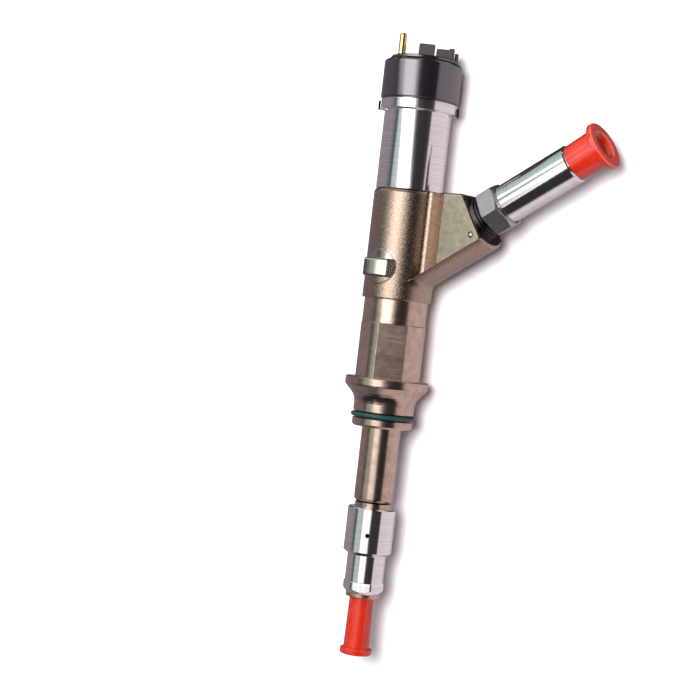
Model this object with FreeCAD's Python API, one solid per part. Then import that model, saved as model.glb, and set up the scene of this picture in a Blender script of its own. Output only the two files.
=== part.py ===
"""Common-rail diesel injector with a side inlet, as an assembly of separate pieces.

Frame: +Z runs up the injector's axis from the nozzle to the solenoid. The origin is on that axis, on the
lower face of the copper washer that seals the injector in the cylinder head. The inlet arm leans out
towards +X, in the XZ plane. Lengths are in millimetres.
"""

import FreeCAD, Part
import math
import os

Vec = FreeCAD.Vector
ORIGIN = Vec(0, 0, 0)
UP = Vec(0, 0, 1)
FULL_TURN = 360.0

# Heights up the axis
WASHER_TOP = 1.6
NUT_HEX_TOP = 6.1
NUT_WAIST_TOP = 16.8
NUT_TOP = 35.5
NOZZLE_SHOULDER = 11.0
BODY_END = 20.0
NECK_TOP = 37.4
LAND_BOTTOM = 67.2
SEAL_GROOVE = 71.7
COLLAR_BOTTOM = 83.1
COLLAR_TOP = 86.4
FLATS_TOP = 107.9
BARREL_TOP = 117.6
LUG_HEIGHT = 129.8
BODY_TOP = 160.5
HOUSING_FLANGE = 191.6
HOUSING_TOP = 195.5
CAP_SHOULDER = 210.4
CAP_TOP = 212.7
KEY_TOP = 218.4
GUARD_TOP = 217.3
TERMINAL_TOPS = {-1: 222.0, 1: 216.3}  # the left one, and the short one inside the guard

# Outer radii
NECK_R = 7.0
SHANK_R = 7.7
LAND_R = 11.95
COLLAR_R = 16.4
GRIP_R = 12.8
BARREL_R = 12.55
BODY_R = 13.6
HOUSING_R = 13.15
HOUSING_FLANGE_R = 15.0
CAP_R = 15.3
CAP_RIM_R = 13.0
NUT_R = 9.5
NUT_WAIST_R = 7.6
NUT_HEX_R = 8.0
NUT_HEX_FLATS = 14.5
WASHER_R = 6.6
NOZZLE_TIP_R = 3.55

# Inlet arm: distances along its own axis, from where it crosses the injector's axis
ARM_ANGLE = 58.0  # from +Z towards +X
ARM_ROOT = 129.9  # height of the crossing
ARM_BOSS_R = 12.6
ARM_FACE = 41.7
ARM_BORE_FLOOR = 27.0
ARM_THREAD_R = 6.1
HEX_START = 45.7
HEX_END = 53.1
HEX_FLATS = 17.0
HEX_TURN = 47.5  # from square below the arm, towards +Y
SLEEVE_R = 7.6
SLEEVE_END = 84.8
UNION_END = 95.2
UNION_R = 6.0
INLET_CAP_END = 98.6

# The arm's sides are milled flat above its round underside, and flare out of the body
BLOCK_HALF = 8.5
BLOCK_FROM = 22.1
BLOCK_ROOT = (12.9, 3.3)  # where the flare's line would meet the body, before the corner is rounded
ROOT_FILLET = 2.5
UNDER_FILLET = 4.0

# Valve and solenoid, from the control piston's top up to the contact strips
CHAMBER_R = 11.8
CHAMBER_FLOOR = 148.4
PISTON_TOP = 148.0
PLATE_R = 9.9
ORIFICE_TOP = 151.6
BALL_VALVE_CENTRE = 151.95
BALL_VALVE_R = 0.7
GUIDE_FLOOR = 154.0
GUIDE_TOP = 157.6
ARMATURE_DISC = (158.5, 160.35)
ARMATURE_STEM_R = 1.5
HOUSING_SEAL = 155.8
HOUSING_BORE_R = 10.0
STATOR_BOTTOM = 160.5
STATOR_TOP = 178.6
COIL_SLOT = (5.0, 8.3, 169.6)  # inner radius, outer radius, top
SPRING_STOP_BOTTOM = 168.6
LEAD_R = 6.6
STRIP_TOP = 197.6

# Hydraulic bores
PISTON_R = 2.5
NEEDLE_R = 2.0
RUNNING_GAP = 0.04
GALLERY_R = 0.8
GALLERY_OFFSET = 5.3
SPRING_CHAMBER_R = 3.9
SPRING_CHAMBER_TOP = 46.0

# Nozzle and needle
NOZZLE_BODY_R = 6.0
NOZZLE_END = -19.0
SEAT_TOP = -15.6
SEAT_TIP = -17.6
SPRING_SEAT_BOTTOM = 21.5
SPRING_SEAT_TOP = 22.8
SHIM_BOTTOM = 44.8
DOWEL_ANGLES = (120.0, 240.0)
DOWEL_R = 0.5

# Inlet details
BALL_PLUG_R = 1.25
FILTER = (60.0, 88.0)

# Directions round the axis, in degrees from +X
GRIP_FLATS = (-56.0, -124.0, 56.0, 124.0)
GRIP_ACROSS = 23.0
LUG_ANGLE = -93.0
CROWN_R = 22.0
KEY_LEFT, KEY_RIGHT = -6.4, 4.3
KEY_LOW, KEY_HIGH = LUG_HEIGHT - 4.0, LUG_HEIGHT + 3.1
TERMINAL_ANGLE = 34.5
TERMINAL_LEFT = -9.1
TERMINAL_RIGHT = 7.9
TERMINAL_R = 1.5
VENT_ANGLE = -59.5
VENT_HEIGHT = 25.1
NUT_HEX_TURN = -32.0


def turned(points):
    """A closed outline of (radius, height) points, revolved about the axis."""
    outline = [Vec(r, 0, z) for r, z in points]
    face = Part.Face(Part.makePolygon(outline + outline[:1]))
    return face.revolve(ORIGIN, UP, FULL_TURN)


def rod(radius, bottom, top):
    return Part.makeCylinder(radius, top - bottom, Vec(0, 0, bottom), UP)


def ring(outer, inner, bottom, top):
    return rod(outer, bottom, top).cut(rod(inner, bottom - 1, top + 1))


def o_ring(centre_radius, section_radius, height):
    return Part.makeTorus(centre_radius, section_radius, Vec(0, 0, height), UP)


def block(size_x, size_y, bottom, top, x=0.0, y=0.0):
    """A box centred on (x, y)."""
    return Part.makeBox(size_x, size_y, top - bottom, Vec(x - size_x / 2, y - size_y / 2, bottom))


def hexagon(across_flats, bottom, top, turn=0.0):
    corner = across_flats / math.sqrt(3)
    angles = [math.radians(turn + 60 * i) for i in range(6)]
    outline = [Vec(corner * math.cos(a), corner * math.sin(a), bottom) for a in angles]
    return Part.Face(Part.makePolygon(outline + outline[:1])).extrude(Vec(0, 0, top - bottom))


def about_axis(shape, degrees):
    turned_shape = shape.copy()
    turned_shape.rotate(ORIGIN, UP, degrees)
    return turned_shape


def on_arm(shape):
    """Moves a shape made along +Z from the origin onto the inlet arm's axis."""
    placed = shape.copy()
    placed.rotate(ORIGIN, Vec(0, 1, 0), ARM_ANGLE)
    placed.translate(Vec(0, 0, ARM_ROOT))
    return placed


def arm_point(along, below=0.0):
    """The point in the XZ plane at a distance along the arm's axis and square below it."""
    a = math.radians(ARM_ANGLE)
    return Vec(
        along * math.sin(a) + below * math.cos(a), 0, ARM_ROOT + along * math.cos(a) - below * math.sin(a)
    )


def threaded(radius, bottom, top, pitch, depth):
    """The (radius, height) points of a run of V grooves, going up."""
    count = int((top - bottom) / pitch)
    points = [(radius, bottom)]
    for i in range(count):
        start = bottom + i * pitch
        points += [(radius - depth, start + pitch / 2), (radius, start + pitch)]
    return points


def coil_spring(radius, wire, bottom, top, turns):
    """A helical spring whose end coils are ground flat."""
    low = bottom + wire * 0.3
    height = top - bottom - wire * 0.6
    path = Part.makeHelix(height / turns, height, radius)
    path.translate(Vec(0, 0, low))
    slope = math.atan2(height / turns, 2 * math.pi * radius)
    direction = Vec(0, math.cos(slope), math.sin(slope))
    section = Part.Wire([Part.makeCircle(wire / 2, Vec(radius, 0, low), direction)])
    spring = Part.Wire(path.Edges).makePipeShell([section], True, True)
    return spring.common(rod(radius * 2, bottom, top))


def body_outline():
    """The forging and its turned lower end, without the arm."""
    lower = [(0, BODY_END), (NECK_R - 0.5, BODY_END), (NECK_R, BODY_END + 0.5)]
    groove = [(NECK_R, NECK_TOP), (NECK_R - 0.4, NECK_TOP + 0.1), (NECK_R - 0.4, NECK_TOP + 0.6)]
    shank = [(SHANK_R - 0.6, NECK_TOP + 0.6), (SHANK_R, NECK_TOP + 1.5), (SHANK_R, LAND_BOTTOM)]
    low, high = SEAL_GROOVE - 1.4, SEAL_GROOVE + 1.4
    land = [(LAND_R - 0.7, LAND_BOTTOM), (LAND_R, LAND_BOTTOM + 0.8), (LAND_R, low)]
    seal = [(LAND_R - 1.2, low), (LAND_R - 1.2, high), (LAND_R, high)]
    flare = [(LAND_R, 76.3), (12.1, 77.3), (12.4, 78.4), (12.9, 79.4), (13.8, 80.5)]
    flare += [(COLLAR_R - 0.1, COLLAR_BOTTOM)]
    collar = [(COLLAR_R, COLLAR_BOTTOM + 0.5), (COLLAR_R, COLLAR_TOP - 0.3), (COLLAR_R - 0.3, COLLAR_TOP)]
    grip = [(GRIP_R, COLLAR_TOP), (GRIP_R, FLATS_TOP), (BARREL_R, FLATS_TOP + 0.2), (BARREL_R, BARREL_TOP)]
    upper = [(BODY_R - 0.3, BARREL_TOP), (BODY_R, BARREL_TOP + 0.3), (BODY_R, BODY_TOP - 1.3)]
    upper += [(BODY_R - 0.4, BODY_TOP - 0.4), (BODY_R - 1.2, BODY_TOP), (0, BODY_TOP)]
    return lower + groove + shank + land + seal + flare + collar + grip + upper


def arm_block():
    """The flat-sided upper part of the arm, seen from above as a web that flares out of the round body."""
    root_x, root_half = BLOCK_ROOT
    far = arm_point(ARM_FACE, -30).x + 30
    bottom, height = BODY_END, BODY_TOP + 20 - BODY_END

    # The fillet's centre lies its radius off the flare's line and off the body
    start, end = Vec(root_x, root_half, 0), Vec(BLOCK_FROM, BLOCK_HALF, 0)
    along = (end - start).normalize()
    off = Vec(-along.y, along.x, 0)
    foot = start + off * ROOT_FILLET
    reach = foot.dot(along)
    centre = foot + along * (math.sqrt(reach**2 - foot.Length**2 + (BODY_R + ROOT_FILLET) ** 2) - reach)
    on_body = centre * ((BODY_R - 0.05) / centre.Length)
    on_flare = centre - off * ROOT_FILLET
    turn = (on_body - centre).normalize() - off
    corner = centre + turn.normalize() * ROOT_FILLET
    waist = (on_flare + end) * 0.5 - off * 0.35

    def flare(side):
        points = [Vec(p.x, side * p.y, bottom) for p in (on_body, corner, on_flare, waist, end)]
        return [Part.Arc(*points[:3]).toShape(), Part.Arc(*points[2:]).toShape()]

    corners = [(BLOCK_FROM, BLOCK_HALF), (far, BLOCK_HALF), (far, -BLOCK_HALF), (BLOCK_FROM, -BLOCK_HALF)]
    inner = [(on_body.x, -on_body.y), (0, -on_body.y), (0, on_body.y), (on_body.x, on_body.y)]
    edges = flare(-1) + flare(1)
    for run in (corners, inner):
        points = [Vec(x, y, bottom) for x, y in run]
        edges += [Part.makeLine(p, q) for p, q in zip(points, points[1:])]
    plan = Part.Face(Part.Wire(Part.__sortEdges__(edges))).extrude(Vec(0, 0, height))

    drop = math.sqrt(ARM_BOSS_R**2 - BLOCK_HALF**2)
    slope = math.tan(math.radians(ARM_ANGLE))
    low = arm_point(0, drop)
    top_edge = (BODY_TOP - 0.2 - arm_point(ARM_FACE).z) / math.sin(math.radians(ARM_ANGLE))
    side = [
        Vec(0, 0, BODY_TOP - 0.2),
        Vec(0, 0, low.z - low.x / slope),
        arm_point(ARM_FACE, drop),
        arm_point(ARM_FACE, -top_edge),
    ]
    outline = [Vec(p.x, -40, p.z) for p in side]
    arm = plan.common(Part.Face(Part.makePolygon(outline + outline[:1])).extrude(Vec(0, 80, 0)))
    upper = [e for e in arm.Edges if e.BoundBox.ZMin > BODY_TOP - 0.3]
    arm = arm.makeFillet(1.1, [e for e in upper if abs(e.CenterOfMass.y) > BLOCK_HALF - 0.1])
    # The end's edges, where the milled sides meet the face that the fitting screws into
    centre, along = arm_point(ARM_FACE), arm_point(1) - arm_point(0)
    flat = [e for e in arm.Edges if all(abs((v.Point - centre).dot(along)) < 0.01 for v in e.Vertexes)]
    return arm.makeChamfer(0.8, [e for e in flat if abs(abs(e.CenterOfMass.y) - BLOCK_HALF) < 0.01])


def arm_underside():
    """The round lower part of the arm, below its milled sides."""
    drop = math.sqrt(ARM_BOSS_R**2 - BLOCK_HALF**2)
    edge = 1.0
    end = [(ARM_BOSS_R, ARM_FACE - edge), (ARM_BOSS_R - edge, ARM_FACE), (0, ARM_FACE)]
    boss = turned([(0, 4), (ARM_BOSS_R, 4)] + end)
    below = Part.makeBox(40, 80, ARM_FACE + 20, Vec(drop, -40, -10))
    return on_arm(boss.common(below))


def lug_disc(radius):
    return Part.makeCylinder(radius, 12, Vec(8, 0, LUG_HEIGHT), Vec(1, 0, 0))


def lug_pocket():
    """The slope milled into the round pad beside its key."""
    start = KEY_RIGHT - 0.5
    corners = [Vec(x, y, KEY_LOW) for x, y in ((17, start), (13.2, start), (10.2, 7), (17, 7))]
    face = Part.Face(Part.makePolygon(corners + corners[:1]))
    return face.extrude(Vec(0, 0, KEY_HIGH - KEY_LOW)).common(lug_disc(6.9))


def locating_lug():
    """The round pad on the side of the body, with a key standing out of its lower half."""
    crown = Part.makeCylinder(CROWN_R, KEY_HIGH - KEY_LOW, Vec(15.8 - CROWN_R, -4.6, KEY_LOW), UP)
    key = block(12, KEY_RIGHT - KEY_LEFT, KEY_LOW, KEY_HIGH, x=14, y=(KEY_RIGHT + KEY_LEFT) / 2).common(crown)
    key = key.makeFillet(0.9, [e for e in key.Edges if e.BoundBox.XMax > 8.1])
    pad = lug_disc(6.9).common(rod(BODY_R + 0.3, 0, BODY_TOP))
    top = lug_disc(6.5).common(rod(BODY_R + 0.55, 0, BODY_TOP))
    return pad.fuse(top).cut(lug_pocket()).fuse(key)


def injector_body():
    body = turned(body_outline())
    for angle in GRIP_FLATS:
        cutter = Part.makeBox(6, 40, FLATS_TOP - COLLAR_TOP, Vec(GRIP_ACROSS / 2, -20, COLLAR_TOP))
        body = body.cut(about_axis(cutter, angle))
    body = body.fuse([arm_block(), arm_underside()]).removeSplitter()
    low, high = BARREL_TOP + 4, BARREL_TOP + 9
    right = [e for e in body.Edges if e.BoundBox.XMin > 8 and e.Length > 7]
    under = [e for e in right if e.BoundBox.ZMin > low and e.BoundBox.ZMax < high]
    body = body.makeFillet(UNDER_FILLET, under)
    body = body.cut(about_axis(lug_pocket(), LUG_ANGLE)).fuse(about_axis(locating_lug(), LUG_ANGLE))

    # Axial bores: spring chamber, piston bore, valve pocket and solenoid pocket
    hollows = [
        rod(SPRING_CHAMBER_R, BODY_END - 1, SPRING_CHAMBER_TOP),
        rod(PISTON_R + RUNNING_GAP, BODY_END, CHAMBER_FLOOR + 1),
        rod(PLATE_R + 0.05, CHAMBER_FLOOR, BODY_TOP + 1),
        rod(CHAMBER_R, ORIFICE_TOP + 0.4, BODY_TOP + 1),
    ]
    # High-pressure path: the threaded socket in the arm, its drilling, and the galleries down and up
    meeting = arm_point(GALLERY_OFFSET / math.sin(math.radians(ARM_ANGLE)))
    feed = arm_point(10.5)
    hollows += [
        on_arm(rod(ARM_THREAD_R, ARM_BORE_FLOOR, ARM_FACE + 1)),
        on_arm(rod(1.0, GALLERY_OFFSET / math.sin(math.radians(ARM_ANGLE)), ARM_BORE_FLOOR + 1)),
        Part.makeCylinder(GALLERY_R, meeting.z - BODY_END + 1, Vec(GALLERY_OFFSET, 0, BODY_END - 1)),
        Part.makeCylinder(0.6, CHAMBER_FLOOR + 1 - feed.z, feed),
        ball_hole(),
    ]
    hollows += [dowel_pin(angle, 0.0) for angle in DOWEL_ANGLES]
    return body.cut(Part.makeCompound(hollows))


def dowel_pin(angle, shrink=0.02):
    pin = Part.makeCylinder(DOWEL_R - shrink, 4 - shrink, Vec(5.0, 0, BODY_END - 2))
    return about_axis(pin, angle)


def ball_place(depth):
    place = arm_point(38.3, 6.2)
    return Vec(place.x, -BLOCK_HALF + depth, place.z)


def ball_hole():
    place = ball_place(2.6)
    place.y = -BLOCK_HALF - 1
    return Part.makeCylinder(BALL_PLUG_R, 3.6, place, Vec(0, 1, 0))


def ball_plug():
    return Part.makeSphere(BALL_PLUG_R, ball_place(1.0))


def copper_washer():
    edge = 0.25
    return turned(
        [
            (WASHER_R - 1.4, 0),
            (WASHER_R - edge, 0),
            (WASHER_R, edge),
            (WASHER_R, WASHER_TOP - edge),
            (WASHER_R - edge, WASHER_TOP),
            (WASHER_R - 1.4, WASHER_TOP),
        ]
    )


def nozzle_nut():
    outside = [(NUT_HEX_R - 1.4, WASHER_TOP), (NUT_HEX_R, WASHER_TOP + 1.6), (NUT_HEX_R, NUT_HEX_TOP - 0.2)]
    outside += [(NUT_HEX_R - 0.2, NUT_HEX_TOP), (NUT_WAIST_R, NUT_HEX_TOP), (NUT_WAIST_R, NUT_WAIST_TOP)]
    outside += [(NUT_R - 0.3, NUT_WAIST_TOP + 1.1), (NUT_R, NUT_WAIST_TOP + 1.3), (NUT_R, NUT_TOP - 0.4)]
    outside += [(NUT_R - 0.4, NUT_TOP)]
    inside = [(NECK_R + 0.05, NUT_TOP), (NECK_R + 0.05, BODY_END - 0.4)]
    inside += [(NOZZLE_BODY_R + 0.1, BODY_END - 1.2), (NOZZLE_BODY_R + 0.1, NOZZLE_SHOULDER)]
    inside += [(NOZZLE_TIP_R + 0.15, NOZZLE_SHOULDER)]
    inside += [(NOZZLE_TIP_R + 0.15, WASHER_TOP)]
    nut = turned(outside + inside)
    hex_part = hexagon(NUT_HEX_FLATS, WASHER_TOP - 1, NUT_HEX_TOP, NUT_HEX_TURN)
    nut = nut.common(hex_part.fuse(rod(NUT_R + 1, NUT_HEX_TOP, NUT_TOP + 1)))
    vent = Part.makeCylinder(0.7, NUT_R, Vec(NECK_R - 0.5, 0, VENT_HEIGHT), Vec(1, 0, 0))
    return nut.cut(about_axis(vent, VENT_ANGLE))


def nozzle_body():
    outline = [(NOZZLE_TIP_R, NOZZLE_SHOULDER), (NOZZLE_BODY_R, NOZZLE_SHOULDER), (NOZZLE_BODY_R, BODY_END)]
    outline += [(NEEDLE_R + RUNNING_GAP, BODY_END), (NEEDLE_R + RUNNING_GAP, 15.5), (3.3, 14.8), (3.3, 12.6)]
    outline += [(2.3, 11.8), (2.3, -14.9), (1.7, SEAT_TOP), (0.4, SEAT_TIP), (0.4, SEAT_TIP - 0.4)]
    outline += [(0, SEAT_TIP - 0.6)]
    outline += [(0, NOZZLE_END), (0.6, NOZZLE_END), (1.2, NOZZLE_END + 0.4), (1.5, NOZZLE_END + 1.1)]
    outline += [(3.1, -15.6), (NOZZLE_TIP_R, -15.0)]
    body = turned(outline)
    start, end = Vec(4.9, 0, BODY_END + 0.6), Vec(3.0, 0, 13.8)
    body = body.cut(Part.makeCylinder(0.55, start.distanceToPoint(end), start, end.sub(start)))
    for i in range(6):  # spray holes out of the sac
        direction = Vec(math.cos(math.radians(60 * i)), math.sin(math.radians(60 * i)), -0.25)
        body = body.cut(Part.makeCylinder(0.08, 3.5, Vec(0, 0, SEAT_TIP - 0.2), direction))
    for angle in DOWEL_ANGLES:
        body = body.cut(dowel_pin(angle, 0.0))
    return body


def nozzle_needle():
    gap = 0.02
    return turned(
        [
            (0, SEAT_TIP + 0.5),
            (0.3, SEAT_TIP + 0.5),
            (1.55, SEAT_TOP + gap * 4),
            (1.6, 12.2),
            (NEEDLE_R, 13.4),
            (NEEDLE_R, BODY_END - 0.5),
            (1.6, BODY_END - 0.1),
            (1.6, SPRING_SEAT_BOTTOM),
            (0, SPRING_SEAT_BOTTOM),
        ]
    )


def spring_seat():
    return turned(
        [
            (0, SPRING_SEAT_BOTTOM),
            (3.0, SPRING_SEAT_BOTTOM),
            (3.4, SPRING_SEAT_BOTTOM + 0.4),
            (3.4, SPRING_SEAT_TOP),
            (0, SPRING_SEAT_TOP),
        ]
    )


def control_piston():
    return turned(
        [
            (0, SPRING_SEAT_TOP),
            (1.6, SPRING_SEAT_TOP),
            (1.6, SPRING_CHAMBER_TOP + 0.6),
            (2.1, SPRING_CHAMBER_TOP + 1.2),
            (2.1, 118.0),
            (PISTON_R, 119.0),
            (PISTON_R, PISTON_TOP - 0.4),
            (PISTON_R - 0.4, PISTON_TOP),
            (0, PISTON_TOP),
        ]
    )


def orifice_plate():
    plate = turned(
        [
            (PISTON_R, CHAMBER_FLOOR),
            (PLATE_R, CHAMBER_FLOOR),
            (PLATE_R, ORIFICE_TOP),
            (0.75, ORIFICE_TOP),
            (0.2, ORIFICE_TOP - 0.55),
            (0.2, CHAMBER_FLOOR + 1.6),
            (0.8, CHAMBER_FLOOR + 1.4),
            (PISTON_R, CHAMBER_FLOOR + 0.9),
        ]
    )
    feed = arm_point(10.5)
    inlet = Part.makeCylinder(0.6, 1.0, Vec(feed.x, 0, CHAMBER_FLOOR - 0.5))
    throttle = Part.makeCylinder(0.15, feed.x, Vec(feed.x, 0, CHAMBER_FLOOR + 0.4), Vec(-1, 0, 0))
    return plate.cut(inlet).cut(throttle)


def armature_guide():
    guide = turned(
        [
            (2.6, ORIFICE_TOP),
            (PLATE_R, ORIFICE_TOP),
            (PLATE_R, GUIDE_TOP - 1.5),
            (PLATE_R - 2.4, GUIDE_TOP),
            (ARMATURE_STEM_R + RUNNING_GAP, GUIDE_TOP),
            (ARMATURE_STEM_R + RUNNING_GAP, GUIDE_FLOOR),
            (2.6, GUIDE_FLOOR - 0.4),
        ]
    )
    for i in range(3):  # return drillings
        drilling = Part.makeCylinder(0.7, 8, Vec(4.4, 0, ORIFICE_TOP + 1), UP)
        guide = guide.cut(about_axis(drilling, 60 + 120 * i))
        guide = guide.cut(
            about_axis(Part.makeCylinder(0.7, 4.4, Vec(0, 0, ORIFICE_TOP + 1.2), Vec(1, 0, 0)), 60 + 120 * i)
        )
    return guide


def armature():
    bottom, top = ARMATURE_DISC
    stem = BALL_VALVE_CENTRE + BALL_VALVE_R
    outline = [(0, stem), (1.2, stem), (ARMATURE_STEM_R, stem + 0.4), (ARMATURE_STEM_R, bottom)]
    plate = turned(outline + [(8.2, bottom), (8.2, top), (0, top)])
    for i in range(6):  # slots that let fuel pass as the plate moves
        plate = plate.cut(about_axis(block(3.6, 1.0, bottom - 1, top + 1, x=7.0), 60 * i))
    return plate


def valve_ball():
    return Part.makeSphere(BALL_VALVE_R, Vec(0, 0, BALL_VALVE_CENTRE))


def contact_strip(offset):
    """The strip from the coil up into the terminal, on the side the terminal is on."""
    side = math.copysign(1, offset)
    riser = block(0.8, 1.2, COIL_SLOT[2] - 0.1, STRIP_TOP, x=side * LEAD_R)
    run = block(abs(offset) - LEAD_R + 0.8, 1.2, STRIP_TOP - 0.8, STRIP_TOP, x=(offset + side * LEAD_R) / 2)
    return about_axis(riser.fuse(run).removeSplitter(), TERMINAL_ANGLE)


def terminal_pin(offset):
    top = TERMINAL_TOPS[math.copysign(1, offset)]
    pin = turned(
        [
            (0, STRIP_TOP),
            (TERMINAL_R - 0.3, STRIP_TOP),
            (TERMINAL_R - 0.3, CAP_TOP),
            (TERMINAL_R, CAP_TOP),
            (TERMINAL_R, top - 0.9),
            (TERMINAL_R - 0.25, top - 0.35),
            (TERMINAL_R - 0.7, top),
            (0, top),
        ]
    )
    pin.translate(Vec(offset, 0, 0))
    return about_axis(pin, TERMINAL_ANGLE)


def stator_core():
    core = ring(PLATE_R, 2.4, STATOR_BOTTOM, STATOR_TOP)
    core = core.cut(ring(COIL_SLOT[1], COIL_SLOT[0], STATOR_BOTTOM - 1, COIL_SLOT[2]))
    return core.cut(contact_strip(TERMINAL_LEFT)).cut(contact_strip(TERMINAL_RIGHT))


def coil_bobbin():
    low, high = STATOR_BOTTOM + 0.2, COIL_SLOT[2] - 0.1
    return turned(
        [
            (COIL_SLOT[0] + 0.05, low),
            (COIL_SLOT[1] - 0.05, low),
            (COIL_SLOT[1] - 0.05, low + 0.7),
            (COIL_SLOT[0] + 0.6, low + 0.7),
            (COIL_SLOT[0] + 0.6, high - 0.7),
            (COIL_SLOT[1] - 0.05, high - 0.7),
            (COIL_SLOT[1] - 0.05, high),
            (COIL_SLOT[0] + 0.05, high),
        ]
    )


def coil_winding():
    return ring(COIL_SLOT[1] - 0.25, COIL_SLOT[0] + 0.6, STATOR_BOTTOM + 0.9, COIL_SLOT[2] - 0.8)


def spring_stop():
    return turned(
        [(0, SPRING_STOP_BOTTOM), (2.3, SPRING_STOP_BOTTOM), (2.3, STATOR_TOP), (0, STATOR_TOP)]
    )


def solenoid_housing():
    spigot = [(HOUSING_BORE_R, ORIFICE_TOP + 0.6), (CHAMBER_R - 0.05, ORIFICE_TOP + 0.6)]
    spigot += [(CHAMBER_R - 0.05, HOUSING_SEAL - 0.8), (CHAMBER_R - 0.75, HOUSING_SEAL - 0.8)]
    spigot += [(CHAMBER_R - 0.75, HOUSING_SEAL + 0.8), (CHAMBER_R - 0.05, HOUSING_SEAL + 0.8)]
    spigot += [(CHAMBER_R - 0.05, BODY_TOP), (HOUSING_R - 0.3, BODY_TOP)]
    tube = [(HOUSING_R, BODY_TOP + 0.3), (HOUSING_R, HOUSING_FLANGE - 0.3), (HOUSING_R + 0.3, HOUSING_FLANGE)]
    flange = [(HOUSING_FLANGE_R - 0.2, HOUSING_FLANGE), (HOUSING_FLANGE_R, HOUSING_FLANGE + 0.2)]
    flange += [(HOUSING_FLANGE_R, HOUSING_TOP - 0.2), (HOUSING_FLANGE_R - 0.2, HOUSING_TOP)]
    flange += [(HOUSING_BORE_R, HOUSING_TOP)]
    housing = turned(spigot + tube + flange)
    for side in (-1, 1):  # lugs for the assembly tool
        lug = block(3.0, 4.0, HOUSING_FLANGE - 0.3, HOUSING_FLANGE + 2.9, x=side * (HOUSING_FLANGE_R - 0.7))
        housing = housing.fuse(about_axis(lug, TERMINAL_ANGLE))
    return housing


def terminal_cap():
    relief = HOUSING_TOP + 0.5  # a shadow line over the housing's flange
    side = [(CAP_R - 0.9, HOUSING_TOP), (CAP_R - 0.9, relief), (CAP_R - 0.2, relief), (CAP_R, relief + 0.2)]
    top = [(CAP_R, CAP_SHOULDER - 0.3), (CAP_R - 0.3, CAP_SHOULDER + 0.3), (CAP_RIM_R + 0.3, CAP_TOP - 1.0)]
    top += [(CAP_RIM_R, CAP_TOP - 1.0), (CAP_RIM_R, CAP_TOP - 0.3), (CAP_RIM_R - 0.3, CAP_TOP), (0, CAP_TOP)]
    plug = [(0, STATOR_TOP), (HOUSING_BORE_R - 0.5, STATOR_TOP), (HOUSING_BORE_R - 0.05, STATOR_TOP + 0.5)]
    plug += [(HOUSING_BORE_R - 0.05, HOUSING_TOP)]
    cap = turned(plug + side + top)

    key = block(6.3, 7.0, CAP_TOP - 1, KEY_TOP, x=0.55)
    key = key.makeChamfer(0.4, [e for e in key.Edges if e.BoundBox.ZMin > KEY_TOP - 0.1])
    front = block(4.9, 1.6, CAP_TOP - 1, GUARD_TOP - 0.5, x=6.85, y=-3.4)
    corner = block(2.1, 2.2, CAP_TOP - 1, GUARD_TOP, x=10.35, y=-3.6)
    back = block(7.0, 1.6, CAP_TOP - 1, GUARD_TOP - 0.5, x=7.9, y=3.4)
    end = block(1.4, 3.4, 209.0, GUARD_TOP - 1.3, x=12.4)
    notch = block(2.0, 2.2, CAP_SHOULDER - 0.4, CAP_SHOULDER + 2.4, x=-9.3, y=-11.0)
    uprights = key.fuse([front, corner, back, end])
    cap = cap.fuse(about_axis(uprights, TERMINAL_ANGLE)).cut(about_axis(notch, TERMINAL_ANGLE))
    for offset in (TERMINAL_LEFT, TERMINAL_RIGHT):
        cap = cap.cut(contact_strip(offset)).cut(terminal_pin(offset))
    return cap


def inlet_fitting():
    """The screwed-in high-pressure connection, made along +Z and placed on the arm."""
    start = ARM_BORE_FLOOR + 1.0
    screw = [(5.4, start), (5.9, start + 0.5)]
    screw += threaded(ARM_THREAD_R - 0.05, start + 1.2, ARM_FACE - 1.5, 1.5, 0.45)
    screw += [(ARM_THREAD_R - 0.5, ARM_FACE - 1.0), (ARM_THREAD_R - 0.5, ARM_FACE + 1.6)]
    screw += [(7.6, ARM_FACE + 1.6), (7.8, ARM_FACE + 1.8), (7.8, ARM_FACE + 2.6)]
    screw += [(7.0, ARM_FACE + 2.6), (7.0, HEX_START)]
    head_r = 9.75
    head = [(9.2, HEX_START), (head_r, HEX_START + 0.3), (head_r, HEX_END - 0.9), (8.2, HEX_END)]
    sleeve = [(SLEEVE_R - 0.5, HEX_END), (SLEEVE_R - 0.5, HEX_END + 0.4), (SLEEVE_R, HEX_END + 0.9)]
    sleeve += [(SLEEVE_R, SLEEVE_END - 0.5), (SLEEVE_R - 0.5, SLEEVE_END)]
    union = [(UNION_R - 0.7, SLEEVE_END), (UNION_R - 0.7, SLEEVE_END + 1.2)]
    union += threaded(UNION_R, SLEEVE_END + 1.9, UNION_END - 0.8, 1.5, 0.5)
    union += [(UNION_R - 0.9, UNION_END)]
    inside = [(3.9, UNION_END), (2.6, UNION_END - 2.4), (2.6, FILTER[0] - 0.1)]
    inside += [(1.2, FILTER[0] - 1.5), (1.2, start)]
    fitting = turned(screw + head + sleeve + union + inside)
    nut = hexagon(HEX_FLATS, HEX_START, HEX_END, HEX_TURN)
    envelope = nut.fuse([rod(HEX_START, start - 1, HEX_START), rod(HEX_START, HEX_END, UNION_END + 1)])
    return on_arm(fitting.common(envelope))


def inlet_seal_ring():
    return on_arm(ring(8.4, ARM_THREAD_R + 0.3, ARM_FACE, ARM_FACE + 1.6))


def edge_filter():
    """A fluted rod; fuel passes from the grooves open at one end into those open at the other."""
    rod_body = rod(2.52, *FILTER)
    for i in range(6):
        low = FILTER[0] - 1 if i % 2 else FILTER[0] + 2
        flute = block(1.2, 0.9, low, low + FILTER[1] - FILTER[0] - 1, x=2.52)
        rod_body = rod_body.cut(about_axis(flute, 60 * i))
    return on_arm(rod_body)


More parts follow.
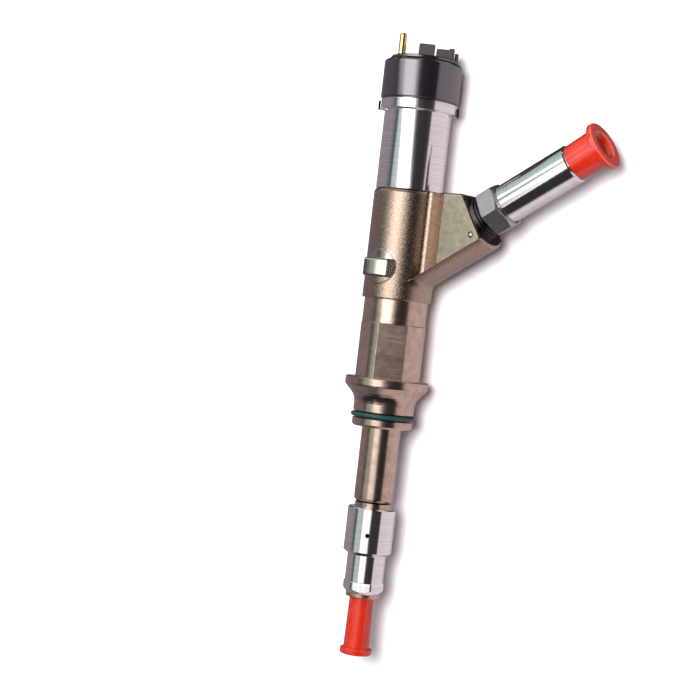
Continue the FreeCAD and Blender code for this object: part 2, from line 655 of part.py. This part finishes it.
def inlet_cap():
    lip, end = SLEEVE_END + 0.2, INLET_CAP_END
    bore = UNION_R + 0.06
    cap = turned(
        [
            (bore, lip),
            (6.9, lip),
            (7.0, lip + 0.2),
            (7.4, end - 2.6),
            (8.9, end - 2.2),
            (9.3, end - 1.7),
            (9.3, end - 0.4),
            (9.0, end),
            (5.7, end),
            (4.7, end - 2.2),
            (0, end - 2.2),
            (0, end - 3.0),
            (bore, end - 3.0),
        ]
    )
    return on_arm(cap)


def nozzle_cap():
    bore, end = NOZZLE_TIP_R + 0.06, -22.7
    return turned(
        [
            (bore, 0.3),
            (4.7, 0.3),
            (4.85, 0.1),
            (5.15, end + 2.7),
            (6.1, end + 2.4),
            (6.35, end + 2.1),
            (6.35, end + 0.5),
            (6.0, end),
            (3.4, end),
            (3.2, end + 0.9),
            (0, end + 0.9),
            (0, end + 2.0),
            (bore, end + 2.0),
        ]
    )


PARTS = {
    "injector_body": injector_body,
    "nozzle_nut": nozzle_nut,
    "nozzle_body": nozzle_body,
    "nozzle_needle": nozzle_needle,
    "needle_spring": lambda: coil_spring(2.75, 0.9, SPRING_SEAT_TOP, SHIM_BOTTOM, 9),
    "spring_seat": spring_seat,
    "spring_shim": lambda: ring(SPRING_CHAMBER_R - 0.05, 2.6, SHIM_BOTTOM, SPRING_CHAMBER_TOP),
    "control_piston": control_piston,
    "dowel_pin_a": lambda: dowel_pin(DOWEL_ANGLES[0]),
    "dowel_pin_b": lambda: dowel_pin(DOWEL_ANGLES[1]),
    "copper_washer": copper_washer,
    "body_o_ring": lambda: o_ring(LAND_R - 0.1, 0.95, SEAL_GROOVE),
    "ball_plug": ball_plug,
    "orifice_plate": orifice_plate,
    "valve_ball": valve_ball,
    "armature_guide": armature_guide,
    "armature": armature,
    "armature_spring": lambda: coil_spring(1.5, 0.6, ARMATURE_DISC[1], SPRING_STOP_BOTTOM, 6),
    "stator_core": stator_core,
    "coil_bobbin": coil_bobbin,
    "coil_winding": coil_winding,
    "spring_stop": spring_stop,
    "solenoid_housing": solenoid_housing,
    "housing_o_ring": lambda: o_ring(CHAMBER_R - 0.38, 0.36, HOUSING_SEAL),
    "contact_strip_left": lambda: contact_strip(TERMINAL_LEFT),
    "contact_strip_right": lambda: contact_strip(TERMINAL_RIGHT),
    "terminal_pin_left": lambda: terminal_pin(TERMINAL_LEFT),
    "terminal_pin_right": lambda: terminal_pin(TERMINAL_RIGHT),
    "terminal_cap": terminal_cap,
    "inlet_fitting": inlet_fitting,
    "inlet_seal_ring": inlet_seal_ring,
    "edge_filter": edge_filter,
    "inlet_cap": inlet_cap,
    "nozzle_cap": nozzle_cap,
}

os.makedirs("parts", exist_ok=True)
for name, make in PARTS.items():
    shape = make()
    shape.exportStep(f"parts/{name}.step")
    print(name, "solids", len(shape.Solids), "valid", shape.isValid(), "volume", round(shape.Volume, 3))
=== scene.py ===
"""The looks of a diesel fuel injector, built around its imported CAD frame."""

import math

import bpy
from mathutils import Matrix, Vector


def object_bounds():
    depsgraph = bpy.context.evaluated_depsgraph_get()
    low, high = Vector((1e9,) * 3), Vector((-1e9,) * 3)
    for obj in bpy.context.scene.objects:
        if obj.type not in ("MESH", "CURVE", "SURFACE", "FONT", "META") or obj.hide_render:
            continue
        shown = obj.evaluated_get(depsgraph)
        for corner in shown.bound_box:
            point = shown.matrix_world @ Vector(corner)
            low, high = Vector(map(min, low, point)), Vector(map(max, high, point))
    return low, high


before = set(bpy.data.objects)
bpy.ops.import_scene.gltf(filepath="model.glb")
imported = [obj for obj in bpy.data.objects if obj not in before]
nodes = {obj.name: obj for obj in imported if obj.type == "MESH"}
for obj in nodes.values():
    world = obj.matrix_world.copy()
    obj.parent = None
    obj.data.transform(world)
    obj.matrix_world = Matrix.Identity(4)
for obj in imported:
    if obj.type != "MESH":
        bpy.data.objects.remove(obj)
cad_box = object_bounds()
scene = bpy.context.scene

MM = 0.001
ARM_ANGLE = math.radians(58.0)
ARM_ROOT = 129.9 * MM
ARM_AXIS = Vector((math.sin(ARM_ANGLE), 0, math.cos(ARM_ANGLE)))


# ---------------------------------------------------------------- camera
CAMERA_AZIMUTH = math.radians(35.586)
CAMERA_ELEVATION = math.radians(1.088)
CAMERA_ROLL = math.radians(6.61)
CAMERA_DISTANCE = 0.6877
CAMERA_LENS = 89.87


def camera_axes():
    """Unit vectors towards the camera, to its right and up, before its roll."""
    a, e = CAMERA_AZIMUTH, CAMERA_ELEVATION
    back = Vector((math.sin(a) * math.cos(e), -math.cos(a) * math.cos(e), math.sin(e)))
    right = Vector((math.cos(a), math.sin(a), 0))
    return back, right, back.cross(right)


def add_camera():
    back, right, up = camera_axes()
    rolled_right = math.cos(CAMERA_ROLL) * right + math.sin(CAMERA_ROLL) * up
    rolled_up = math.cos(CAMERA_ROLL) * up - math.sin(CAMERA_ROLL) * right
    target = Vector((0, 0, 0.105)) + rolled_right * -0.0167933 + rolled_up * -0.0070787
    camera = bpy.data.objects.new("camera", bpy.data.cameras.new("camera"))
    scene.collection.objects.link(camera)
    turn = Matrix((rolled_right, rolled_up, back)).transposed()
    camera.matrix_world = Matrix.Translation(target + back * CAMERA_DISTANCE) @ turn.to_4x4()
    camera.data.lens = CAMERA_LENS
    camera.data.sensor_width = 36.0
    camera.data.clip_start, camera.data.clip_end = 0.01, 20.0
    scene.camera = camera


add_camera()


# ---------------------------------------------------------------- node helpers
class Nodes:
    """A short way to write a node tree."""

    def __init__(self, tree):
        self.tree = tree
        tree.nodes.clear()

    def add(self, kind, *links, **settings):
        """A node; each link is (input name or number, value or socket)."""
        node = self.tree.nodes.new(kind)
        for key, value in settings.items():
            setattr(node, key, value)
        for key, value in links:
            self.set(node.inputs[key], value)
        return node

    def set(self, socket, value):
        if isinstance(value, bpy.types.NodeSocket):
            self.tree.links.new(value, socket)
        else:
            socket.default_value = value

    def maths(self, operation, a, b=0.0, c=0.0, clamp=False):
        node = self.add("ShaderNodeMath", (0, a), (1, b), (2, c), operation=operation, use_clamp=clamp)
        return node.outputs[0]

    def over(self, value, limit):
        return self.maths("GREATER_THAN", value, limit)

    def under(self, value, limit):
        return self.maths("LESS_THAN", value, limit)

    def both(self, a, b):
        return self.maths("MULTIPLY", a, b)

    def either(self, a, b):
        return self.maths("MAXIMUM", a, b)

    def opposite(self, a):
        return self.maths("SUBTRACT", 1.0, a)

    def vector(self, operation, a, b=(0, 0, 0)):
        """A vector worked out from two vectors."""
        return self.add("ShaderNodeVectorMath", (0, a), (1, b), operation=operation).outputs["Vector"]

    def number(self, operation, a, b=(0, 0, 0)):
        """A number worked out from two vectors."""
        return self.add("ShaderNodeVectorMath", (0, a), (1, b), operation=operation).outputs["Value"]

    def xyz(self, vector):
        node = self.add("ShaderNodeSeparateXYZ", ("Vector", vector))
        return tuple(node.outputs)

    def ramp(self, factor, stops, interpolation="LINEAR"):
        node = self.add("ShaderNodeValToRGB", ("Fac", factor))
        node.color_ramp.interpolation = interpolation
        elements = node.color_ramp.elements
        while len(elements) < len(stops):
            elements.new(1.0)
        for element, (place, colour) in zip(elements, stops):
            element.position = place
            element.color = (*colour, 1.0) if len(colour) == 3 else colour
        return node.outputs["Color"]

    def mix(self, factor, a, b, blend="MIX"):
        node = self.add("ShaderNodeMix", data_type="RGBA", blend_type=blend)
        self.set(node.inputs["Factor"], factor)
        self.set(node.inputs["A"], a)
        self.set(node.inputs["B"], b)
        return node.outputs["Result"]

    def mix_value(self, factor, a, b):
        node = self.add("ShaderNodeMix", data_type="FLOAT")
        self.set(node.inputs["Factor"], factor)
        self.set(node.inputs["A"], a)
        self.set(node.inputs["B"], b)
        return node.outputs["Result"]


def grey(value):
    return (value, value, value)


# ---------------------------------------------------------------- light
WHITE_ROOM = 1.0
FLOOR_HALF = 3.0
FLOOR_WHOLE, FLOOR_END = 0.24, 0.44  # from the floor's middle: where its fade starts and ends
LAMP_POWER = 11.0
KEY = 3.4
NEAR, FAR = 0.25, 0.60
KEY_ROWS = (  # height, the azimuths from the camera's of its left and right edges, and its strength
    (-0.095, -42, 5, 0.42),
    (0.000, -42, 5, 0.42),
    (0.030, -42, -2, 0.42),
    (0.070, -45, -11, 0.5),
    (0.090, -50, -12, 0.7),
    (0.140, -58, 0, 1.0),
    (0.180, -46, 10, 1.0),
    (0.220, -54, 0, 1.0),
    (0.250, -60, -5, 1.0),
    (0.290, -86, -7, 1.0),
    (0.380, -98, -7, 1.0),
)
KEY_FADE = (0.2, 0.6) + (1.0,) * 9 + (0.5, 0.15, 0.02)  # across it, from left to right


def polar(azimuth, distance, z):
    """A point round the injector's axis, by its azimuth in degrees from the camera's."""
    a = CAMERA_AZIMUTH + math.radians(azimuth)
    return Vector((math.sin(a) * distance, -math.cos(a) * distance, z))


def add_key():
    """The big soft light in front and to the left."""
    columns = len(KEY_FADE) - 1
    points, faces, glows = [], [], []
    for z, left, right, strength in KEY_ROWS:
        for i in range(columns + 1):
            azimuth = left + (right - left) * i / columns
            far = min(1.0, (azimuth - left) / 15)
            points.append(polar(azimuth, NEAR + (FAR - NEAR) * far, z))
            glows.append(KEY * strength * KEY_FADE[i])
    for row in range(len(KEY_ROWS) - 1):
        for i in range(columns):
            k = row * (columns + 1) + i
            faces.append((k, k + 1, k + columns + 2, k + columns + 1))
    mesh = bpy.data.meshes.new("key_light")
    mesh.from_pydata(points, [], faces)
    mesh.attributes.new("glow", "FLOAT", "POINT").data.foreach_set("value", glows)
    panel = bpy.data.objects.new("key_light", mesh)
    scene.collection.objects.link(panel)
    material = bpy.data.materials.new("key_light")
    material.use_nodes = True
    n = Nodes(material.node_tree)
    strength = n.add("ShaderNodeAttribute", attribute_name="glow").outputs["Fac"]
    glow = n.add("ShaderNodeEmission", ("Color", (1.0, 0.985, 0.98, 1)), ("Strength", strength))
    n.add("ShaderNodeOutputMaterial", ("Surface", glow.outputs[0]))
    mesh.materials.append(material)
    panel.visible_camera = False
    panel.visible_shadow = False


def add_world():
    """A studio round the object: its tones go by direction round the injector's axis."""
    world = bpy.data.worlds.new("studio")
    scene.world = world
    world.use_nodes = True
    n = Nodes(world.node_tree)
    direction = n.add("ShaderNodeTexCoord").outputs["Generated"]
    turned = n.add(
        "ShaderNodeVectorRotate", ("Vector", direction), ("Angle", -CAMERA_AZIMUTH), rotation_type="Z_AXIS"
    )
    x, y, z = n.xyz(turned.outputs[0])
    azimuth = n.maths("ARCTAN2", x, n.maths("MULTIPLY", y, -1.0))
    place = n.maths("MULTIPLY_ADD", azimuth, 1 / (2 * math.pi), 0.5)

    def at(degrees):
        return degrees / 360 + 0.5

    mauve, pink, pale_pink = (0.30, 0.26, 0.30), (0.72, 0.64, 0.67), (0.78, 0.70, 0.73)
    black, teal, pale_teal = (0.050, 0.044, 0.048), (0.30, 0.42, 0.41), (0.52, 0.64, 0.61)
    level = n.ramp(
        place,
        [
            (at(-180), mauve),
            (at(-96), (0.29, 0.25, 0.28)),
            (at(-84), (0.20, 0.18, 0.19)),
            (at(-79), (0.07, 0.10, 0.10)),
            (at(-72), (0.10, 0.15, 0.15)),
            (at(-67), (0.48, 0.60, 0.59)),
            (at(-56), (0.50, 0.56, 0.56)),
            (at(-44), (0.50, 0.52, 0.54)),
            (at(-20), grey(0.7)),
            (at(-14), black),
            (at(30), (0.035, 0.03, 0.034)),
            (at(45), (0.06, 0.05, 0.055)),
            (at(49), pink),
            (at(60), pink),
            (at(120), pale_pink),
            (at(180), mauve),
        ],
    )
    above = n.ramp(
        place,
        [
            (at(-180), (0.05, 0.045, 0.05)),
            (at(-136), (0.03, 0.035, 0.035)),
            (at(-130), teal),
            (at(-80), pale_teal),
            (at(-56), (0.56, 0.66, 0.64)),
            (at(-36), (0.62, 0.66, 0.66)),
            (at(-12), grey(0.65)),
            (at(-6), black),
            (at(45), black),
            (at(60), pink),
            (at(100), pale_pink),
            (at(125), (0.05, 0.045, 0.05)),
            (at(180), (0.05, 0.045, 0.05)),
        ],
    )
    below = n.ramp(
        place,
        [
            (at(-180), mauve),
            (at(-110), (0.2, 0.18, 0.2)),
            (at(-90), (0.03, 0.03, 0.034)),
            (at(46), (0.03, 0.027, 0.03)),
            (at(60), pink),
            (at(120), pale_pink),
            (at(180), mauve),
        ],
    )
    colour = n.mix(n.maths("MULTIPLY_ADD", z, 12.0, -2.7, clamp=True), level, above)
    colour = n.mix(n.maths("MULTIPLY_ADD", z, -12.0, -2.6, clamp=True), colour, below)
    colour = n.mix(n.maths("MULTIPLY_ADD", z, -50.0, -48.7, clamp=True), colour, (*pink, 1))
    surroundings = n.add("ShaderNodeBackground", ("Color", colour), ("Strength", 1.0))
    seen = n.add("ShaderNodeBackground", ("Color", (1, 1, 1, 1)), ("Strength", WHITE_ROOM))
    camera_ray = n.add("ShaderNodeLightPath").outputs["Is Camera Ray"]
    shader = n.add(
        "ShaderNodeMixShader", (0, camera_ray), (1, surroundings.outputs[0]), (2, seen.outputs[0])
    )
    n.add("ShaderNodeOutputWorld", ("Surface", shader.outputs[0]))


def add_floor():
    """The pale ground behind the injector's back, which fades out round it and shows from the front only."""
    mesh = bpy.data.meshes.new("floor")
    rear = cad_box[1][1] + 0.2 * MM
    corners = [(x * FLOOR_HALF, rear, z * FLOOR_HALF) for x, z in ((-1, -1), (1, -1), (1, 1), (-1, 1))]
    mesh.from_pydata(corners, [], [(0, 1, 2, 3)])
    floor = bpy.data.objects.new("floor", mesh)
    scene.collection.objects.link(floor)
    material = bpy.data.materials.new("floor")
    material.use_nodes = True
    n = Nodes(material.node_tree)
    white = n.add("ShaderNodeBsdfDiffuse", ("Color", (1.0, 0.93, 0.96, 1)))
    clear = n.add("ShaderNodeBsdfTransparent")
    geometry = n.add("ShaderNodeNewGeometry")
    off = n.number("DISTANCE", geometry.outputs["Position"], (0.03, rear, 0.1))
    fade = 1 / (FLOOR_END - FLOOR_WHOLE)
    gone = n.maths("MULTIPLY_ADD", off, fade, -FLOOR_WHOLE * fade, clamp=True)
    gone = n.either(gone, geometry.outputs["Backfacing"])
    shader = n.add("ShaderNodeMixShader", (0, gone), (1, white.outputs[0]), (2, clear.outputs[0]))
    n.add("ShaderNodeOutputMaterial", ("Surface", shader.outputs[0]))
    mesh.materials.append(material)
    floor.visible_glossy = False
    floor.visible_diffuse = False
    floor.visible_transmission = False


def add_lamp():
    """A smaller soft light, high on the left, for the shadow to the lower right."""
    lamp = bpy.data.objects.new("lamp", bpy.data.lights.new("lamp", "AREA"))
    scene.collection.objects.link(lamp)
    lamp.location = polar(-18, 0.95, 0.105 + 0.125)
    lamp.rotation_euler = (Vector((0, 0, 0.12)) - lamp.location).to_track_quat("-Z", "Y").to_euler()
    lamp.data.shape = "DISK"
    lamp.data.size = 0.48
    lamp.data.energy = LAMP_POWER
    lamp.visible_glossy = False


add_world()
add_key()
add_lamp()
add_floor()
nodes["inlet_cap"].visible_glossy = False  # kept out of the housing's and the arm's reflections
scene.view_settings.view_transform = "Standard"
scene.view_settings.look = "None"


# ---------------------------------------------------------------- materials
PER_MM = 1000.0
ARM_SIDE = Vector((math.cos(ARM_ANGLE), 0, -math.sin(ARM_ANGLE)))


class Finish(Nodes):
    """A material with one Principled shader, and the textures that the finishes share."""

    def __init__(self, name, colour, roughness, metallic=0.0):
        self.material = bpy.data.materials.new(name)
        self.material.use_nodes = True
        super().__init__(self.material.node_tree)
        self.shader = self.add("ShaderNodeBsdfPrincipled")
        self.add("ShaderNodeOutputMaterial", ("Surface", self.shader.outputs[0]))
        self.put("Base Color", (*colour, 1))
        self.put("Roughness", roughness)
        self.put("Metallic", metallic)
        self.object = self.add("ShaderNodeTexCoord").outputs["Object"]

    def put(self, name, value):
        self.set(self.shader.inputs[name], value)

    def on_arm(self):
        """Coordinates with the inlet arm's axis as Z."""
        moved = self.vector("ADD", self.object, (0, 0, -ARM_ROOT))
        axes = (ARM_SIDE, Vector((0, 1, 0)), ARM_AXIS)
        parts = [self.number("DOT_PRODUCT", moved, tuple(axis)) for axis in axes]
        return self.add("ShaderNodeCombineXYZ", (0, parts[0]), (1, parts[1]), (2, parts[2])).outputs[0]

    def noise(self, coordinates, scale, stretch=(1, 1, 1), detail=4.0, roughness=0.55):
        """Noise of about one feature per 1/scale mm, stretched along the axes."""
        scaled = self.vector("MULTIPLY", coordinates, tuple(k * PER_MM * scale for k in stretch))
        settings = (("Scale", 1.0), ("Detail", detail), ("Roughness", roughness))
        return self.add("ShaderNodeTexNoise", ("Vector", scaled), *settings).outputs["Fac"]

    def along(self, direction):
        """How far each point is in a direction from the frame's origin."""
        return self.number("DOT_PRODUCT", self.object, tuple(direction))

    def near(self, direction, height, radius):
        """One within a radius of a line that leaves the injector's axis in a direction at a height."""
        place = self.vector("ADD", self.object, (0, 0, -height))
        out = self.number("DOT_PRODUCT", place, direction)
        line = self.add("ShaderNodeVectorMath", (0, direction), (3, out), operation="SCALE").outputs[0]
        off = self.number("DISTANCE", place, line)
        return self.both(self.under(off, radius), self.over(out, 0.0))

    def soft(self, value, middle, half_width):
        """A mask that goes from zero to one round a value."""
        return self.between(value, middle - half_width, middle + half_width, 0.0, 1.0)

    def tones(self, factor, low, high, dark, light):
        """A colour between two tones as factor goes from low to high."""
        return self.mix(self.between(factor, low, high, 0.0, 1.0), (*dark, 1), (*light, 1))

    def between(self, factor, low, high, start, end):
        """A value from start to end as factor goes from low to high."""
        node = self.add("ShaderNodeMapRange", ("Value", factor), ("From Min", low), ("From Max", high))
        self.set(node.inputs["To Min"], start)
        self.set(node.inputs["To Max"], end)
        return node.outputs["Result"]

    def bump(self, *heights, edge=0.0):
        """Surface relief from (height, depth in mm) pairs, over edges rounded by a radius in mm."""
        normal = None
        if edge:
            normal = self.add("ShaderNodeBevel", ("Radius", edge * MM), samples=4).outputs[0]
        for height, depth in heights:
            relief = (("Strength", 1.0), ("Distance", depth * MM), ("Height", height))
            node = self.add("ShaderNodeBump", *relief)
            if normal is not None:
                self.set(node.inputs["Normal"], normal)
            normal = node.outputs[0]
        self.put("Normal", normal)

    def tint(self, factor, low, high, dark, light):
        """The base colour, between two tones as factor goes from low to high."""
        colour = self.tones(factor, low, high, dark, light)
        self.put("Base Color", colour)
        return colour


def sideways(degrees):
    """A level direction, by its angle from +X."""
    return (math.cos(math.radians(degrees)), math.sin(math.radians(degrees)), 0)


# Places on the CAD in metres, for the masks
FLANGE_R = 15.0 * MM
VENT, VENT_HEIGHT, VENT_R = sideways(-59.5), 25.1 * MM, 0.9 * MM
LUG, LUG_SIDE, LUG_HEIGHT, LUG_PAD_R = sideways(-93.0), sideways(-3.0), 129.8 * MM, 7.3 * MM
LUG_FOOT = 125.75 * MM
SLOPE_START, SLOPE_TOP = 4.1 * MM, 132.9 * MM  # the milled slope beside the key
FORGING_BOTTOM = 117.5 * MM
PAD_FRONT, PAD_START = 8.4 * MM, 18.75 * MM  # the milled face of the arm's block
SEAL_GROOVE = (70.32 * MM, 73.08 * MM)
NECK_GROOVE = (37.35 * MM, 38.0 * MM)
GUARD_BOTTOM = 212.75 * MM
FITTING_NECK, HEXAGON_END = 45.675 * MM, 53.12 * MM  # along the arm, from its root
ARM_START = ARM_ROOT * ARM_AXIS.z  # how far its root is along the arm's direction
BOSS_FACE, INLET_CAP_FACE = ARM_START + 41.7 * MM, ARM_START + 98.6 * MM


def turned_steel(name, arm=False, roughness=0.10):
    """Bright ground steel with fine turning lines round its axis and faint streaks along it, and painted
    shade in the vent hole and on the inlet fitting's neck.
    """
    f = Finish(name, (0.9, 0.87, 0.88), roughness, 1.0)
    where = f.on_arm() if arm else f.object
    lines = f.noise(where, 1.6, (0.02, 0.02, 1.0), detail=6.0, roughness=0.7)
    streaks = f.noise(where, 1.1, (1.0, 1.0, 0.02), detail=3.0)
    tone = f.tones(lines, 0.35, 0.6, (0.80, 0.77, 0.785), (0.93, 0.90, 0.91))
    rough = f.between(streaks, 0.3, 0.7, roughness * 0.7, roughness * 1.5)
    if arm:
        along = f.xyz(where)[2]
        hexagon = f.under(along, HEXAGON_END)
        brushed = f.noise(where, 1.4, (1.0, 1.0, 0.1))
        tone = f.mix(hexagon, tone, f.tones(brushed, 0.3, 0.7, (0.44, 0.425, 0.42), (0.56, 0.54, 0.53)))
        # painted shade: the fitting's neck, between the boss's face and the hex, is coloured dark
        tone = f.mix(f.opposite(f.soft(along, FITTING_NECK, 0.025 * MM)), tone, (0.10, 0.095, 0.10, 1))
        rough = f.mix_value(hexagon, rough, 0.3)
    else:
        # painted shade: the inside of the vent hole is coloured near black
        tone = f.mix(f.near(VENT, VENT_HEIGHT, VENT_R), tone, (0.02, 0.02, 0.02, 1))
        out = f.number("LENGTH", f.vector("MULTIPLY", f.object, (1, 1, 0)))
        lugs = f.over(out, FLANGE_R + 0.15 * MM)
        tone = f.mix(lugs, tone, (0.06, 0.055, 0.06, 1))
    f.put("Base Color", tone)
    f.put("Roughness", rough)
    f.bump((lines, 0.0006 if arm else 0.001), (streaks, 0.002 if arm else 0.004), edge=0.18)
    return f.material


def forged_steel():
    """Bronze-tinted plating: grainy on the forging, smooth below it, matte on the milled faces, with painted
    shade in its recesses and on the boss's end face.
    """
    f = Finish("forged_steel", (0.6, 0.5, 0.4), 0.3, 1.0)
    x, y, z = f.xyz(f.object)
    forging = f.soft(z, FORGING_BOTTOM, 0.3 * MM)
    pad = f.both(f.soft(f.maths("ABSOLUTE", y), PAD_FRONT, 0.05 * MM), f.soft(x, PAD_START, 0.25 * MM))
    slope = f.both(f.over(f.along(LUG_SIDE), SLOPE_START), f.under(z, SLOPE_TOP))
    lug = f.both(f.near(LUG, LUG_HEIGHT, LUG_PAD_R), f.both(f.over(z, LUG_FOOT), f.opposite(slope)))
    # painted shade: the boss's end face beside the hex is coloured dark brown; it is also kept free of grain
    shaded_boss_end = f.over(f.along(ARM_AXIS), BOSS_FACE - 0.12 * MM)
    # painted shade: the vent hole and the seal and neck grooves are coloured near black
    shaded_hollow = f.near(VENT, VENT_HEIGHT, VENT_R)
    for low, high in (SEAL_GROOVE, NECK_GROOVE):
        shaded_hollow = f.either(shaded_hollow, f.both(f.over(z, low), f.under(z, high)))

    grain = f.noise(f.object, 2.2, detail=5.0, roughness=0.65)
    blotch = f.noise(f.object, 0.35, detail=3.0)
    lines = f.noise(f.object, 2.0, (0.02, 0.02, 1.0), detail=5.0, roughness=0.7)
    cast = f.tones(grain, 0.35, 0.65, (0.30, 0.22, 0.17), (0.58, 0.44, 0.35))
    smooth = f.tones(blotch, 0.3, 0.7, (0.50, 0.37, 0.30), (0.66, 0.50, 0.41))
    milled = f.tones(blotch, 0.3, 0.7, (0.44, 0.37, 0.265), (0.70, 0.59, 0.45))
    colour = f.mix(pad, f.mix(forging, smooth, cast), milled)
    colour = f.mix(lug, colour, (0.52, 0.47, 0.41, 1))
    # painted shade on the boss's end face
    colour = f.mix(shaded_boss_end, colour, (0.15, 0.11, 0.095, 1))
    # painted shade in the vent hole and the grooves
    f.put("Base Color", f.mix(shaded_hollow, colour, (0.02, 0.016, 0.014, 1)))

    turned, rough = f.between(lines, 0.3, 0.7, 0.17, 0.25), f.between(grain, 0.3, 0.7, 0.20, 0.32)
    rough = f.mix_value(forging, turned, rough)
    f.put("Roughness", f.mix_value(lug, f.mix_value(pad, rough, 0.30), 0.16))
    plain = f.either(f.either(pad, shaded_boss_end), lug)
    grainy = f.both(forging, f.opposite(plain))
    f.bump((f.both(grain, grainy), 0.07), (f.both(lines, f.opposite(forging)), 0.002), edge=0.3)
    return f.material


def black_cap():
    """Gloss black plastic, with its two upright guards duller."""
    f = Finish("cap_black", (0.006, 0.005, 0.007), 0.16)
    f.put("IOR", 2.5)
    f.put("Specular Tint", (1.0, 0.94, 1.0, 1))
    lines = f.noise(f.object, 1.3, (0.01, 0.01, 1.0), detail=6.0, roughness=0.7)
    fine = f.noise(f.object, 3.0)
    guards = f.over(f.xyz(f.object)[2], GUARD_BOTTOM)
    f.put("Base Color", f.mix(guards, (0.006, 0.005, 0.007, 1), (0.012, 0.008, 0.009, 1)))
    f.put("Roughness", f.mix_value(guards, f.between(lines, 0.3, 0.7, 0.10, 0.20), 0.36))
    f.bump((lines, 0.002), (fine, 0.003), edge=0.2)
    return f.material


def red_cap():
    """Soft red plastic, with painted light on the inlet cap's end face, which is coloured lighter."""
    f = Finish("cap_red", (0.80, 0.04, 0.012), 0.30)
    f.put("IOR", 1.5)
    f.put("Subsurface Weight", 0.8)
    f.put("Subsurface Radius", (1.0, 0.35, 0.25))
    f.put("Subsurface Scale", 0.006)
    f.put("Coat Weight", 0.6)
    f.put("Coat Roughness", 0.12)
    cloud = f.noise(f.object, 0.25, detail=2.0)
    colour = f.tint(cloud, 0.3, 0.7, (0.50, 0.017, 0.005), (0.62, 0.030, 0.009))
    # painted light: the inlet cap's end face is coloured a lighter pink-red, standing in for light coming
    # through the plastic
    face = f.over(f.along(ARM_AXIS), INLET_CAP_FACE - 0.45 * MM)
    f.put("Base Color", f.mix(face, colour, (0.90, 0.12, 0.085, 1)))
    f.bump((f.noise(f.object, 0.8, detail=2.0), 0.02))
    return f.material


def o_ring_rubber():
    f = Finish("o_ring", (0.01, 0.05, 0.05), 0.3)
    f.tint(f.noise(f.object, 2.0), 0.3, 0.7, (0.008, 0.036, 0.036), (0.014, 0.06, 0.058))
    f.bump((f.noise(f.object, 6.0), 0.004))
    return f.material


def plain_metal(name, dark, light, roughness):
    f = Finish(name, light, roughness, 1.0)
    spots = f.noise(f.object, 1.5, detail=5.0)
    f.tint(spots, 0.35, 0.65, dark, light)
    f.put("Roughness", f.between(spots, 0.3, 0.7, roughness * 0.8, roughness * 1.25))
    f.bump((f.noise(f.object, 4.0, (0.05, 0.05, 1.0)), 0.002), edge=0.12)
    return f.material


def moulded(name, dark, light, roughness):
    f = Finish(name, light, roughness)
    f.tint(f.noise(f.object, 2.0), 0.3, 0.7, dark, light)
    f.bump((f.noise(f.object, 5.0), 0.004))
    return f.material


def give(material, *names):
    for name in names:
        data = nodes[name].data
        data.materials.clear()
        data.materials.append(material)


give(plain_metal("inner_steel", (0.50, 0.50, 0.51), (0.64, 0.64, 0.65), 0.25), *nodes)
give(turned_steel("bright_steel"), "nozzle_nut", "solenoid_housing")
give(plain_metal("ball_steel", (0.78, 0.77, 0.78), (0.90, 0.89, 0.90), 0.15), "ball_plug")
give(turned_steel("bright_steel_arm", arm=True), "inlet_fitting")
give(forged_steel(), "injector_body")
# painted shade: the seal ring between the boss and the hex is coloured dark grey
give(plain_metal("seal_steel", (0.10, 0.095, 0.10), (0.20, 0.19, 0.195), 0.3), "inlet_seal_ring")
give(plain_metal("copper", (0.62, 0.34, 0.22), (0.90, 0.56, 0.40), 0.3), "copper_washer", "coil_winding")
brass = plain_metal("brass", (0.66, 0.50, 0.25), (0.78, 0.62, 0.34), 0.3)
give(brass, "contact_strip_left", "contact_strip_right")
gold_plate = plain_metal("gold_plate", (0.90, 0.60, 0.18), (0.98, 0.76, 0.34), 0.16)
give(gold_plate, "terminal_pin_left", "terminal_pin_right")
give(o_ring_rubber(), "body_o_ring", "housing_o_ring")
give(moulded("bobbin_plastic", (0.02, 0.02, 0.02), (0.04, 0.04, 0.04), 0.4), "coil_bobbin")
give(black_cap(), "terminal_cap")
give(red_cap(), "inlet_cap", "nozzle_cap")
for node in nodes.values():
    node.data.polygons.foreach_set("use_smooth", [True] * len(node.data.polygons))
